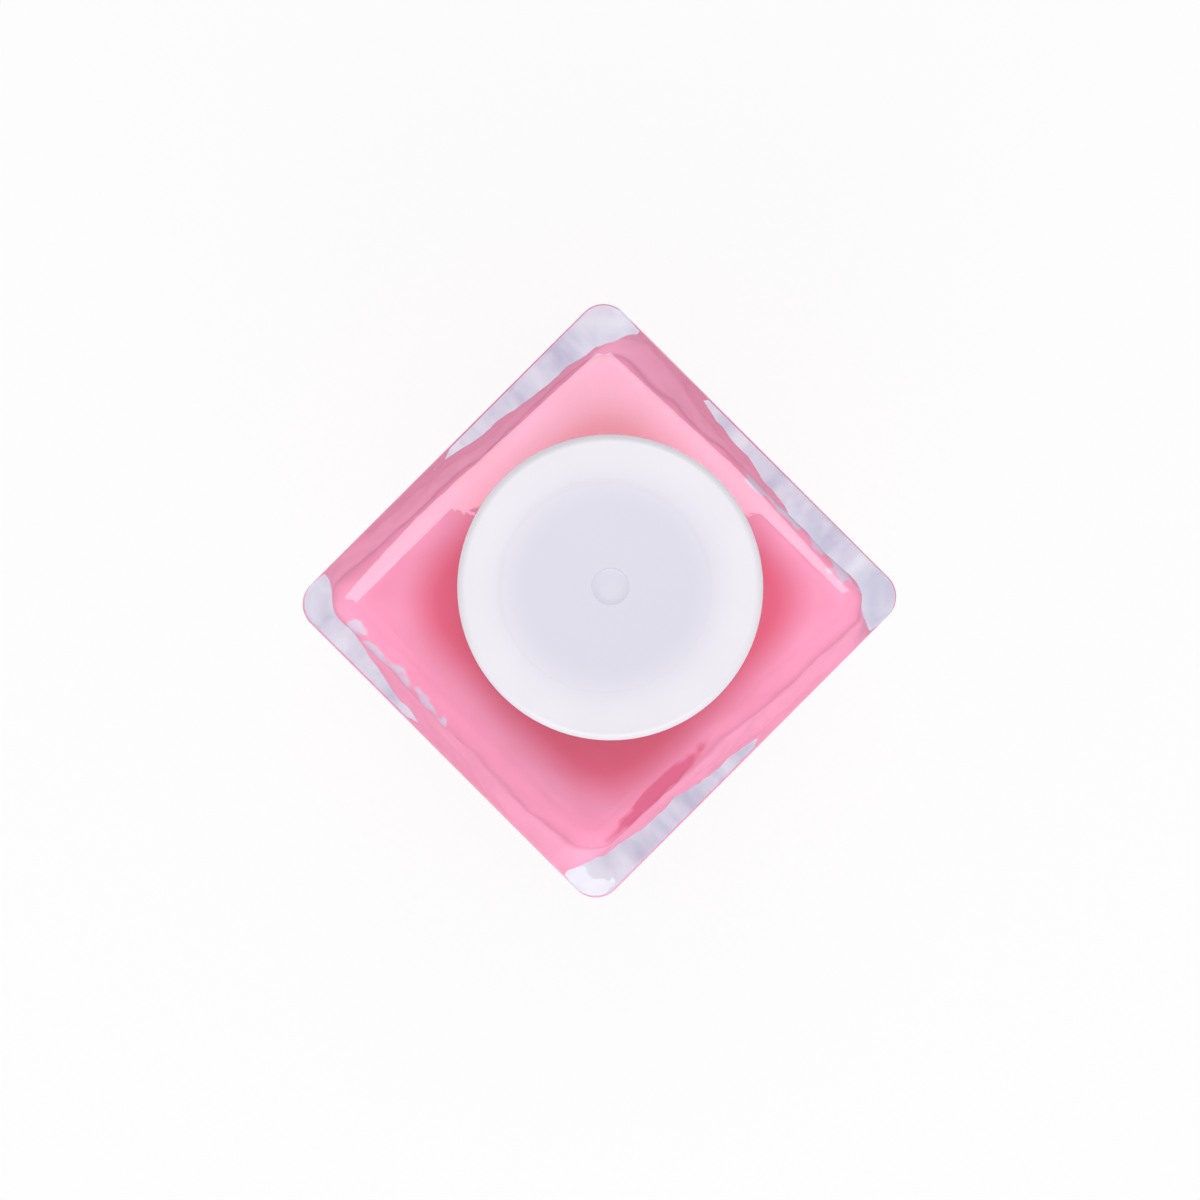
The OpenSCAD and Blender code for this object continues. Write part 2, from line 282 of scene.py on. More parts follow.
def mould_wave(p):
    """How far the inside of the glass wanders at this point, as blown glass does."""
    return sum(noise.noise(p / length + Vector(shift)) * wave for length, wave, shift in MOULD_WAVES)


def cavity_ring(inset, z, grow):
    """Ring of the cavity's wall, inset from its full width and grown outward past the glass."""
    half = min(BODY_W, BODY_D) / 2
    depth = min(max((CAVITY_TOP - z - LEAN_FROM) / (LEAN_TO - LEAN_FROM), 0), 1)
    share = depth * depth * (3 - 2 * depth)
    wall = WALL_HIGH + (WALL_LOW - WALL_HIGH) * share + inset - grow
    lean_x, lean_y = (a + (b - a) * share for a, b in zip(LEAN_HIGH, LEAN_LOW))
    base = square_ring(BODY_W - 2 * wall, BODY_D - 2 * wall,
                       CAVITY_CORNER_R - min(inset, CAVITY_CORNER_R * 0.8), z)

    def point(turn):
        p = base(turn)
        p += Vector((lean_x * p.y, lean_y * p.x, 0))
        outward = Vector((p.x, p.y, 0)).normalized()
        return p + outward * mould_wave(p) * (1 - inset / half)
    return point


def cavity_rings(grow=0.0):
    """Inside of the glass from the throat's foot down to the middle of its floor."""
    rings = []
    for inset, z in arc(CAVITY_TOP_R, CAVITY_TOP - CAVITY_TOP_R, CAVITY_TOP_R, 90, 180, 8):
        rings.append(cavity_ring(inset, z + grow, grow))
    rows = 40
    low, high = CAVITY_FLOOR + CAVITY_FLOOR_R, CAVITY_TOP - CAVITY_TOP_R
    for i in range(1, rows):
        rings.append(cavity_ring(0, high + (low - high) * i / rows, grow))
    for inset, z in arc(CAVITY_FLOOR_R, low, CAVITY_FLOOR_R, 180, 270, 8):
        rings.append(cavity_ring(inset, z - grow, grow))
    return rings + [pole(CAVITY_FLOOR - grow)]


def glass_mesh():
    bore = [(BORE_R, LIP_Z - (LIP_Z - CAVITY_TOP - THROAT_H) * i / 6) for i in range(1, 6)]
    rings = body_outside() + neck_outside()
    rings += [circle_ring(r, z) for r, z in bore + THROAT]
    return skin(rings + cavity_rings(), COLUMNS)


def polish_mesh():
    """Liquid with its level and its well for the brush, and the film it leaves above."""
    wet = TOUCH                                   # the polish reaches just into the glass
    well_z = tuft_low[2] - 0.6 * MM
    meniscus = 0.5 * MM
    rings = [pole(well_z), circle_ring(WELL_R, well_z)]
    rings += [circle_ring(WELL_R, LEVEL + meniscus),
              circle_ring(WELL_R + meniscus * 0.6, LEVEL + meniscus / 4),
              circle_ring(WELL_R + meniscus * 2, LEVEL)]
    rings += [cavity_ring(FILM + meniscus, LEVEL, 0),
              cavity_ring(FILM + meniscus / 4, LEVEL + meniscus / 4, 0),
              cavity_ring(FILM, LEVEL + meniscus, 0)]
    for inset, z in arc(CAVITY_TOP_R, CAVITY_TOP - CAVITY_TOP_R, CAVITY_TOP_R - FILM, 180, 90, 6):
        rings.append(cavity_ring(inset, z, 0))
    rings += [circle_ring(r, z - FILM) for r, z in THROAT[::-1]]
    rings += [circle_ring(r + wet, z + wet) for r, z in THROAT]
    return skin(rings + cavity_rings(wet), COLUMNS)


# ---------------------------------------------------------------- shapes of the cap and brush
def outer_cap_mesh():
    low, high = outer_low[2], outer_high[2]
    base_r = outer_high[0]
    top_r = base_r - 0.25 * MM
    edge, crown = 0.3 * MM, 0.5 * MM
    bore_r, roof = 8.5 * MM, high - 1.6 * MM
    shift = (-PANEL_SHIFT / math.sqrt(2), -PANEL_SHIFT / math.sqrt(2))
    step, gate_step = 0.06 * MM, 0.05 * MM
    outside = arc(base_r - edge, low + edge, edge, -90, 0, 4)
    outside += arc(top_r - crown, high - crown, crown, 0, 90, 10)
    panel = [(PANEL_R + 0.25 * MM, high), (PANEL_R + 0.1 * MM, high - step * 0.3),
             (PANEL_R - 0.05 * MM, high - step * 0.85), (PANEL_R - 0.2 * MM, high - step)]
    gate = [(GATE_R + 0.12 * MM, high - step), (GATE_R, high - step + gate_step),
            (GATE_R - 0.12 * MM, high - step), (GATE_R * 0.4, high - step - gate_step)]
    inside = arc(bore_r - edge, roof - edge, edge, 90, 0, 4) + [(bore_r, low + edge)]
    inside += [(bore_r + edge, low)]
    rings = [pole(roof)] + [circle_ring(r, z) for r, z in inside + outside]
    rings += [circle_ring(r, z, shift) for r, z in panel]
    rings += [circle_ring(r, z) for r, z in gate] + [pole(high - step - gate_step)]
    bm = skin(rings, 96)
    ribs, rib_w, rib_depth = 8, 0.8 * MM, 2.5 * MM
    rib_low = inner_low[2] + 9 * MM    # clear of the inner cap
    for i in range(ribs):
        rib = bmesh.ops.create_cube(bm, size=1)["verts"]
        bmesh.ops.scale(bm, verts=rib, vec=(rib_depth, rib_w, roof - rib_low))
        bmesh.ops.translate(bm, verts=rib, vec=(bore_r - rib_depth / 2 + TOUCH, 0, (roof + rib_low) / 2))
        bmesh.ops.rotate(bm, verts=rib, matrix=Matrix.Rotation(2 * math.pi * i / ribs, 3, "Z"))
    return bm


def inner_cap_mesh():
    """Ribbed skirt with the thread inside it, the plate over the liner and the hub on top."""
    low, high = inner_low[2], inner_high[2]
    plate_low = liner_high[2] + TOUCH
    plate_high = plate_low + 1.5 * MM
    skirt_r, rib_count, rib_reach = 8.2 * MM, 12, 0.25 * MM
    rib_half = 0.12                    # half a rib's width, as a share of the ribs' pitch
    bore_r, crest_r = 6.65 * MM, 5.9 * MM
    hub_r, shank_r = 3.2 * MM, 1.52 * MM
    edge = 0.2 * MM
    half_turn = 0.5                    # the cap's thread begins across from the neck's
    thread_z = NECK_THREAD_Z + LEAD * (CAP_THREAD_FROM - half_turn) + CAP_THREAD_LIFT

    def ribbed(r, z, reach):
        def point(turn):
            phase = ring_turn(turn) * rib_count % 1
            rib = max(0, 1 - (min(phase, 1 - phase) / rib_half) ** 2)
            return circle_ring(r + reach * rib, z)(turn)
        return point

    def threaded(z):
        def point(turn):
            rise = thread_height(z, ring_turn(turn), thread_z, CAP_THREAD_FROM, CAP_THREAD_TURNS)
            return circle_ring(bore_r + (crest_r - bore_r) * rise, z)(turn)
        return point

    rings = [circle_ring(shank_r, high), circle_ring(hub_r - edge, high), circle_ring(hub_r, high - edge),
             circle_ring(hub_r, plate_high + edge), circle_ring(hub_r + edge, plate_high),
             circle_ring(skirt_r - edge, plate_high), ribbed(skirt_r, plate_high - edge, 0),
             ribbed(skirt_r, plate_high - 3 * edge, rib_reach), ribbed(skirt_r, low + 3 * edge, rib_reach),
             ribbed(skirt_r, low + edge, 0), circle_ring(skirt_r - edge, low),
             circle_ring(bore_r + edge, low), circle_ring(bore_r, low + edge)]
    start, end = thread_z - THREAD_MARGIN, thread_z + LEAD * CAP_THREAD_TURNS + THREAD_MARGIN
    rows = 38
    rings += [threaded(start + (end - start) * i / rows) for i in range(rows + 1)]
    rings += [circle_ring(bore_r, plate_low), circle_ring(shank_r, plate_low), circle_ring(shank_r, high)]
    return skin(rings, 192)


def liner_mesh():
    """Foam washer with the ring that the lip has pressed into it."""
    low, high = liner_low[2], liner_high[2]
    r, bore, edge, dent = liner_high[0], 3.4 * MM, 0.1 * MM, 0.06 * MM
    section = [(bore, low + edge), (bore + edge, low), (BORE_R, low), (BORE_R + edge, low + dent),
               (NECK_R - 4 * edge, low + dent), (NECK_R - 3 * edge, low), (r - edge, low), (r, low + edge),
               (r, high - edge), (r - edge, high), (bore + edge, high), (bore, high - edge),
               (bore, low + edge)]
    return skin([circle_ring(radius, z) for radius, z in section], 96)


def stem_mesh():
    """Tapered rod with its flange, its shank and the socket for the tuft."""
    low, high = stem_low[2], stem_high[2]
    flange_r = stem_high[0]
    flange_high = liner_high[2] + TOUCH
    flange_low = flange_high - 0.8 * MM
    top_r, end_r, shank_r, socket_r = 1.8 * MM, 1.5 * MM, 1.5 * MM, 1.17 * MM
    edge, seam = 0.15 * MM, 0.04 * MM
    seam_half = 0.02                   # half the mould seam's width, as a share of half a turn

    def seamed(r, z, height):
        def point(turn):
            phase = ring_turn(turn) * 2 % 1
            ridge = max(0, 1 - min(phase, 1 - phase) / seam_half)
            return circle_ring(r + height * ridge, z)(turn)
        return point

    rings = [pole(low + 3.4 * MM), circle_ring(socket_r, low + 3.4 * MM), circle_ring(socket_r, low),
             circle_ring(end_r - edge, low), circle_ring(end_r, low + edge),
             seamed(end_r, low + 2 * edge, seam), seamed(top_r - 0.02 * MM, flange_low - 2 * edge, seam),
             circle_ring(top_r, flange_low - edge), circle_ring(top_r + edge, flange_low),
             circle_ring(flange_r - edge, flange_low), circle_ring(flange_r, flange_low + edge),
             circle_ring(flange_r, flange_high - TOUCH), circle_ring(shank_r, flange_high),
             circle_ring(shank_r, high - edge), circle_ring(shank_r - edge, high), pole(high)]
    return skin(rings, 100)


def tuft_mesh():
    """A few hundred tapered nylon bristles, packed round at the stem and spread flat at the tip."""
    low, high = tuft_low[2], tuft_high[2]
    stem_end = stem_low[2]
    root_r = 1.1 * MM
    wide, thick = tuft_high[0] - 0.05 * MM, tuft_high[1] - 0.05 * MM
    bristles, bristle_r = 260, 0.045 * MM
    sides, rows = 5, 7
    rng = random.Random(11)
    golden = math.pi * (3 - math.sqrt(5))
    bm = bmesh.new()

    def half_widths(z):
        """Half widths of the whole tuft at this height."""
        spread = max(0.0, (stem_end - z) / (stem_end - low - 2 * MM))
        ease = min(spread, 1) ** 1.3
        closing = 1 - 0.45 * max(0.0, spread - 1)
        return (root_r + (wide - root_r) * ease) * closing, (root_r + (thick - root_r) * ease) * closing

    for i in range(bristles):
        reach = math.sqrt((i + 0.5) / bristles)
        dx, dy = reach * math.cos(golden * i), reach * math.sin(golden * i)
        tip = low + (0.15 + 1.5 * reach ** 4) * MM + rng.uniform(0, 0.25) * MM
        bend = Vector((rng.uniform(-1, 1), rng.uniform(-1, 1))) * 0.06 * MM
        rings = [pole(high, (dx * (root_r - bristle_r), dy * (root_r - bristle_r)))]
        for row in range(rows + 1):
            down = row / rows
            z = high + (tip - high) * down
            across, along = half_widths(z)
            sway = bend * down ** 2
            centre = (dx * (across - bristle_r) + sway.x, dy * (along - bristle_r) + sway.y)
            taper = 1 - 0.45 * max(0.0, down - 0.7) / 0.3
            rings.append(circle_ring(bristle_r * taper, z, centre))
        lay_grid(bm, rings + [pole(tip, centre)], sides)
    bmesh.ops.recalc_face_normals(bm, faces=bm.faces)
    return bm


def label_mesh():
    """Round die-cut sticker with a rolled cut edge."""
    r, low, high = label_high[0], label_low[2], label_high[2] + TOUCH   # glued, with no air above it
    edge = 0.04 * MM
    rings = [pole(low), circle_ring(r * 0.5, low), circle_ring(r - edge, low), circle_ring(r, low + edge),
             circle_ring(r, high - edge / 2), circle_ring(r - edge / 2, high), pole(high)]
    return skin(rings, 96)


# ---------------------------------------------------------------- finishes
def group_tree(name, inputs, outputs):
    """An empty node group with named sockets; returns it with its input and output nodes."""
    tree = bpy.data.node_groups.new(name, "ShaderNodeTree")
    for label, kind, value in inputs:
        socket = tree.interface.new_socket(label, in_out="INPUT", socket_type=kind)
        if value is not None:
            socket.default_value = value
    for label, kind in outputs:
        tree.interface.new_socket(label, in_out="OUTPUT", socket_type=kind)
    return tree, tree.nodes.new("NodeGroupInput"), tree.nodes.new("NodeGroupOutput")


def figure(nodes, link, operation, *given):
    """A sum on numbers and sockets; returns its result's socket."""
    node = nodes.new("ShaderNodeMath")
    node.operation = operation
    for value, socket in zip(given, node.inputs):
        if isinstance(value, (int, float)):
            socket.default_value = value
        else:
            link(value, socket)
    return node.outputs[0]


def ragged_noise(nodes, link, vector, scale, detail):
    """A noise pattern from about 0 to 1; its scale is a number or a socket."""
    texture = nodes.new("ShaderNodeTexNoise")
    texture.inputs["Detail"].default_value = detail
    if isinstance(scale, float):
        texture.inputs["Scale"].default_value = scale
    else:
        link(scale, texture.inputs["Scale"])
    link(vector, texture.inputs["Vector"])
    return texture.outputs["Fac"]


def moulded_surface_group():
    """Fine unevenness of a moulded surface: a shade mask, a height and a change of roughness."""
    tree, given, result = group_tree("moulded_surface", [
        ("Vector", "NodeSocketVector", None), ("Grain Size", "NodeSocketFloat", 0.4 * MM),
        ("Flow Size", "NodeSocketFloat", 8 * MM), ("Roughness", "NodeSocketFloat", 0.4),
        ("Roughness Change", "NodeSocketFloat", 0.05)],
        [("Shade", "NodeSocketFloat"), ("Height", "NodeSocketFloat"), ("Roughness", "NodeSocketFloat")])
    nodes, link = tree.nodes, tree.links.new
    vector = given.outputs["Vector"]
    grain_detail, flow_detail = 3, 2
    grain_scale = figure(nodes, link, "DIVIDE", 1, given.outputs["Grain Size"])
    flow_scale = figure(nodes, link, "DIVIDE", 1, given.outputs["Flow Size"])
    grain = ragged_noise(nodes, link, vector, grain_scale, grain_detail)
    flow = ragged_noise(nodes, link, vector, flow_scale, flow_detail)
    grain_share, middle = 0.25, 0.5
    link(figure(nodes, link, "MULTIPLY_ADD", grain, grain_share, flow), result.inputs["Height"])
    link(flow, result.inputs["Shade"])
    centred = figure(nodes, link, "SUBTRACT", flow, middle)
    link(figure(nodes, link, "MULTIPLY_ADD", centred, given.outputs["Roughness Change"],
                given.outputs["Roughness"]), result.inputs["Roughness"])
    return tree


def from_axis_group():
    """Distance from the upright axis: 2 for Squareness measures it in circles, more in squares."""
    tree, given, result = group_tree("from_axis", [
        ("Vector", "NodeSocketVector", None), ("Squareness", "NodeSocketFloat", 2.0)],
        [("Distance", "NodeSocketFloat")])
    nodes, link = tree.nodes, tree.links.new
    squareness = given.outputs["Squareness"]
    parts = nodes.new("ShaderNodeSeparateXYZ")
    link(given.outputs["Vector"], parts.inputs[0])
    powers = [figure(nodes, link, "POWER", figure(nodes, link, "ABSOLUTE", parts.outputs[axis]), squareness)
              for axis in ("X", "Y")]
    total = figure(nodes, link, "ADD", *powers)
    root = figure(nodes, link, "DIVIDE", 1, squareness)
    link(figure(nodes, link, "POWER", total, root), result.inputs["Distance"])
    return tree


MOULDED = moulded_surface_group()
FROM_AXIS = from_axis_group()


def tools(material):
    """The nodes of a material, and what joins them."""
    return material.node_tree.nodes, material.node_tree.links.new


def tint_and_ripple(material, dark, light, grain, flow, bump, depth):
    """Gives a material a colour that wanders between two and a slightly uneven surface."""
    nodes, link = tools(material)
    shader = nodes["Principled BSDF"]
    place = nodes.new("ShaderNodeTexCoord")
    surface = nodes.new("ShaderNodeGroup")
    surface.node_tree = MOULDED
    surface.inputs["Grain Size"].default_value = grain
    surface.inputs["Flow Size"].default_value = flow
    link(place.outputs["Object"], surface.inputs["Vector"])
    ramp = nodes.new("ShaderNodeValToRGB")
    ramp.color_ramp.elements[0].position = 0.3
    ramp.color_ramp.elements[0].color = (*dark, 1)
    ramp.color_ramp.elements[1].position = 0.7
    ramp.color_ramp.elements[1].color = (*light, 1)
    link(surface.outputs["Shade"], ramp.inputs["Fac"])
    link(ramp.outputs["Color"], shader.inputs["Base Color"])
    bumps = nodes.new("ShaderNodeBump")
    bumps.inputs["Strength"].default_value = bump
    bumps.inputs["Distance"].default_value = depth
    link(surface.outputs["Height"], bumps.inputs["Height"])
    link(bumps.outputs["Normal"], shader.inputs["Normal"])
    return surface


def finish(name, dark, light, roughness, change=0.08, grain=0.4 * MM, flow=8 * MM, bump=0.1,
           depth=0.02 * MM, **plain):
    """A finish whose colour, gloss and surface wander between limits, as on a moulded piece."""
    material = bpy.data.materials.new(name)
    material.use_nodes = True
    shader = material.node_tree.nodes["Principled BSDF"]
    surface = tint_and_ripple(material, dark, light, grain, flow, bump, depth)
    surface.inputs["Roughness"].default_value = roughness
    surface.inputs["Roughness Change"].default_value = change
    material.node_tree.links.new(surface.outputs["Roughness"], shader.inputs["Roughness"])
    for socket, value in plain.items():
        shader.inputs[socket.replace("_", " ")].default_value = value
    return material


def square_distance(material, squareness, centre=(0, 0)):
    """Distance from an upright line, as a socket in the material."""
    nodes, link = tools(material)
    place = nodes.new("ShaderNodeTexCoord")
    shift = nodes.new("ShaderNodeMapping")
    shift.vector_type = "POINT"
    shift.inputs["Location"].default_value = (-centre[0], -centre[1], 0)
    distance = nodes.new("ShaderNodeGroup")
    distance.node_tree = FROM_AXIS
    distance.inputs["Squareness"].default_value = squareness
    link(place.outputs["Object"], shift.inputs["Vector"])
    link(shift.outputs["Vector"], distance.inputs["Vector"])
    return distance.outputs["Distance"]


def height(material):
    """Height above the table, as a socket in the material."""
    nodes, link = tools(material)
    parts = nodes.new("ShaderNodeSeparateXYZ")
    link(nodes.new("ShaderNodeTexCoord").outputs["Object"], parts.inputs[0])
    return parts.outputs["Z"]


def tone_between(material, tone, value, near, far):
    """Turns a finish to another tone by a value: fully at near, not at all at far."""
    nodes, link = tools(material)
    share = nodes.new("ShaderNodeMapRange")
    share.interpolation_type = "SMOOTHSTEP"
    share.inputs["From Min"].default_value = min(near, far)
    share.inputs["From Max"].default_value = max(near, far)
    share.inputs["To Min"].default_value = 1 if near < far else 0
    share.inputs["To Max"].default_value = 0 if near < far else 1
    link(value, share.inputs["Value"])
    mix_in(material, share.outputs["Result"], tone)


def mix_in(material, share, tone):
    """Mixes a tone over a finish's colour by a share."""
    nodes, link = tools(material)
    colour = nodes["Principled BSDF"].inputs["Base Color"]
    mix = nodes.new("ShaderNodeMix")
    mix.data_type = "RGBA"
    link(share, mix.inputs["Factor"])
    link(colour.links[0].from_socket, mix.inputs["A"])
    mix.inputs["B"].default_value = (*tone, 1)
    link(mix.outputs["Result"], colour)


def tone_round_axis(material, tone, near, far, squareness, centre=(0, 0)):
    """Another tone close to an upright line."""
    tone_between(material, tone, square_distance(material, squareness, centre), near, far)


def clear_glass(dark, light):
    """Clear moulded glass. It lets light straight through to what is behind it."""
    material = bpy.data.materials.new("clear_glass")
    material.use_nodes = True
    shader = material.node_tree.nodes["Principled BSDF"]
    shader.inputs["Roughness"].default_value = 0.0
    shader.inputs["IOR"].default_value = 1.52
    shader.inputs["Transmission Weight"].default_value = 1.0
    tint_and_ripple(material, dark, light, grain=1.2 * MM, flow=2.2 * MM, bump=0.2, depth=0.02 * MM)
    let_light_through(material, (1, 1, 1))
    return material


def let_light_through(material, colour):
    """Lets part of the light pass the finish, so that what lies behind it is lit."""
    nodes, link = tools(material)
    rays = nodes.new("ShaderNodeLightPath")
    through = nodes.new("ShaderNodeBsdfTransparent")
    through.inputs["Color"].default_value = (*colour, 1)
    mix = nodes.new("ShaderNodeMixShader")
    link(rays.outputs["Is Shadow Ray"], mix.inputs["Fac"])
    link(nodes["Principled BSDF"].outputs[0], mix.inputs[1])
    link(through.outputs[0], mix.inputs[2])
    link(mix.outputs[0], nodes["Material Output"].inputs["Surface"])


def thin_film_reflection_patches(material, pale_reflection):
    """Paints pale lilac in ragged patches high on the polish's walls, where its film has run thin: a
    painted reflection of the pale surroundings, as clear glass shows them.

    The film has run off the half of each wall from which the leaning hollow is further away."""
    nodes, link = tools(material)

    def band(value, low, high):
        node = nodes.new("ShaderNodeMapRange")
        node.interpolation_type = "SMOOTHSTEP"
        node.inputs["From Min"].default_value = low
        node.inputs["From Max"].default_value = high
        link(value, node.inputs["Value"])
        return node.outputs["Result"]

    place = nodes.new("ShaderNodeTexCoord").outputs["Object"]
    parts = nodes.new("ShaderNodeSeparateXYZ")
    link(place, parts.inputs[0])
    ragged = ragged_noise(nodes, link, place, 1 / PATCH_SIZE, 2)
    wander = figure(nodes, link, "SUBTRACT", ragged, 0.5)
    turn = figure(nodes, link, "ARCTAN2", parts.outputs["Y"], parts.outputs["X"])
    halves = figure(nodes, link, "SINE", figure(nodes, link, "MULTIPLY", turn, -4))
    half = band(figure(nodes, link, "MULTIPLY_ADD", wander, 3.0, halves), 0.3, 0.6)
    reach = figure(nodes, link, "MULTIPLY_ADD", wander, PATCH_SIZE * 1.5,
                   square_distance(material, FILM_SQUARENESS))
    outer = band(reach, FILM_EDGE - 0.2 * MM, FILM_EDGE + 0.2 * MM)
    ragged_z = figure(nodes, link, "MULTIPLY_ADD", wander, 1.5 * MM, parts.outputs["Z"])
    upper = band(ragged_z, CAVITY_TOP - 1.5 * MM, CAVITY_TOP - 1.1 * MM)
    mask = figure(nodes, link, "MULTIPLY", figure(nodes, link, "MULTIPLY", half, outer), upper)
    mix_in(material, mask, pale_reflection)


def painted_shade_oval(material, tone, middle, reach):
    """Painted shade: a darker oval with ragged ends on the ceiling."""
    nodes, link = tools(material)
    place = nodes.new("ShaderNodeTexCoord")
    ragged = ragged_noise(nodes, link, place.outputs["Object"], 1 / PATCH_SIZE, 2)
    offset = nodes.new("ShaderNodeMapping")
    offset.vector_type = "POINT"
    offset.inputs["Location"].default_value = [-m / r for m, r in zip(middle, reach)]
    offset.inputs["Scale"].default_value = [1 / r for r in reach]
    link(place.outputs["Object"], offset.inputs["Vector"])
    away = nodes.new("ShaderNodeVectorMath")
    away.operation = "LENGTH"
    link(offset.outputs["Vector"], away.inputs[0])
    edge = figure(nodes, link, "ADD", away.outputs["Value"], ragged)
    tone_between(material, tone, edge, near=1.2, far=1.6)


def srgb(r, g, b):
    """Linear colour of an sRGB triple from 0 to 255."""
    return tuple((c / 255 / 12.92) if c <= 10 else ((c / 255 + 0.055) / 1.055) ** 2.4 for c in (r, g, b))


GLASS = clear_glass(dark=srgb(152, 150, 187), light=srgb(212, 209, 231))   # painted shade and reflection: lilac grey patches near the foot only, for the surroundings seen through the clear glass
tone_between(GLASS, srgb(250, 250, 254), height(GLASS), near=2.5 * MM, far=0.6 * MM)
POLISH = finish("pink_polish", srgb(235, 142, 174), srgb(241, 152, 184), 0.3, flow=5 * MM, bump=0.02,
                Specular_IOR_Level=0.0)
# painted shade: the polish turns deep coral round the neck, where the tall cap shades it
tone_round_axis(POLISH, srgb(226, 92, 123), near=9.8 * MM, far=12.8 * MM, squareness=5,
                centre=(0.4 * MM, 0.4 * MM))
# painted light: the polish's walls paler than its ceiling, for the light they get from the sides through
# the glass
tone_between(POLISH, srgb(255, 172, 203), height(POLISH),
             near=CAVITY_TOP - 2.6 * MM, far=CAVITY_TOP - 1.2 * MM)
# painted reflection: pale lilac patches high on the walls, where the film has run thin
thin_film_reflection_patches(POLISH, srgb(212, 194, 214))
# painted shade: a darker ragged oval on the polish's ceiling
painted_shade_oval(POLISH, srgb(216, 96, 134), SHADE_OVAL_MIDDLE, SHADE_OVAL_REACH)
let_light_through(POLISH, (0.9, 0.6, 0.68))
CAP_WHITE = finish("satin_white_cap", srgb(230, 227, 235), srgb(236, 233, 240), 0.36, bump=0.15)
# painted shade: the middle of the cap darker and lilac, its rim lighter where its rounded edge catches the
# light
tone_round_axis(CAP_WHITE, srgb(217, 214, 229), near=5.0 * MM, far=8.5 * MM, squareness=2)
CAP_NATURAL = finish("natural_inner_cap", srgb(226, 224, 216), srgb(236, 234, 227), 0.5, bump=0.25)
STEM_WHITE = finish("natural_stem", srgb(232, 231, 226), srgb(242, 241, 237), 0.42, bump=0.2)
LINER_FOAM = finish("liner_foam", srgb(226, 226, 222), srgb(240, 240, 237), 0.9, grain=0.12 * MM,
                    bump=0.8, depth=0.04 * MM)
NYLON = finish("bristle_nylon", srgb(52, 44, 44), srgb(92, 80, 78), 0.35, flow=0.6 * MM)
STEEL = finish("drawn_steel", srgb(176, 176, 178), srgb(206, 206, 208), 0.3, grain=0.2 * MM, Metallic=1.0)
LABEL_PAPER = finish("label_paper", srgb(236, 236, 234), srgb(246, 246, 245), 0.7, grain=0.08 * MM,
                     bump=0.5, depth=0.01 * MM)

# ---------------------------------------------------------------- the bottle and its closure
piece("glass_body", glass_mesh(), GLASS, "bottle", "glass_bottle", sharp=60)
piece("polish_fill", polish_mesh(), POLISH, "bottle", "polish", sharp=60)
piece("blank_label", label_mesh(), LABEL_PAPER, "bottle", "base_label")
piece("liner_washer", liner_mesh(), LINER_FOAM, "liner", "sealing_liner")
piece("threaded_inner_cap", inner_cap_mesh(), CAP_NATURAL, "closure", "inner_cap")
piece("tall_outer_cap", outer_cap_mesh(), CAP_WHITE, "closure", "outer_cap")
piece("brush_rod", stem_mesh(), STEM_WHITE, "closure", "brush_stem")
piece("nylon_bristles", tuft_mesh(), NYLON, "closure", "bristle_tuft")
for node_name in ("mixing_balls", "bristle_staple"):
    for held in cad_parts[node_name].material_slots:
        held.material = STEEL


# ---------------------------------------------------------------- floor, light and camera
FAR_SIDE = Vector((-1, 1, 0)).normalized()
RIGHT_SIDE = Vector((1, 1, 0)).normalized()
BOX_ABOVE = 620 * MM               # height of the soft box over the shoulder
FLOOR_HALF = 3                     # metres


def pale_floor():
    """A large pale sheet: near white to the eye and in gloss, still taking a soft shadow."""
    bm = bmesh.new()
    bmesh.ops.create_grid(bm, x_segments=1, y_segments=1, size=FLOOR_HALF)
    bmesh.ops.translate(bm, verts=bm.verts, vec=(0, 0, -TOUCH))
    mesh = bpy.data.meshes.new("pale_floor")
    bm.to_mesh(mesh)
    bm.free()
    floor = bpy.data.objects.new("pale_floor", mesh)
    bpy.context.scene.collection.objects.link(floor)
    material = bpy.data.materials.new("pale_floor")
    material.use_nodes = True
    nodes, link = tools(material)
    shader = nodes["Principled BSDF"]
    shader.inputs["Base Color"].default_value = (0.95, 0.95, 0.95, 1)
    shader.inputs["Roughness"].default_value = 1
    shader.inputs["Specular IOR Level"].default_value = 0
    glow = nodes.new("ShaderNodeEmission")
    share = nodes.new("ShaderNodeMixShader")
    link(seen_by_eye(nodes, link, plain=0.85, through_glass=0.0), share.inputs["Fac"])
    link(shader.outputs[0], share.inputs[1])
    link(glow.outputs[0], share.inputs[2])
    link(share.outputs[0], nodes["Material Output"].inputs["Surface"])
    mesh.materials.append(material)


def seen_by_eye(nodes, link, plain, through_glass):
    """plain for rays from the camera and off gloss, through_glass for those, and 0 for the rest."""
    rays = nodes.new("ShaderNodeLightPath")
    direct = figure(nodes, link, "MAXIMUM", rays.outputs["Is Camera Ray"], rays.outputs["Is Glossy Ray"])
    through = rays.outputs["Is Transmission Ray"]
    return figure(nodes, link, "MAXIMUM", figure(nodes, link, "MULTIPLY", direct, plain),
                  figure(nodes, link, "MULTIPLY", through, through_glass))


def white_room(fill):
    """World: white to the eye, glass and gloss; fill is the strength of its light on the rest."""
    world = bpy.data.worlds.new("white_room")
    bpy.context.scene.world = world
    world.use_nodes = True
    nodes, link = world.node_tree.nodes, world.node_tree.links.new
    background = nodes["Background"]
    background.inputs["Color"].default_value = (1, 1, 1, 1)
    seen = seen_by_eye(nodes, link, plain=1.0, through_glass=1.0)
    link(figure(nodes, link, "MAXIMUM", seen, fill), background.inputs["Strength"])


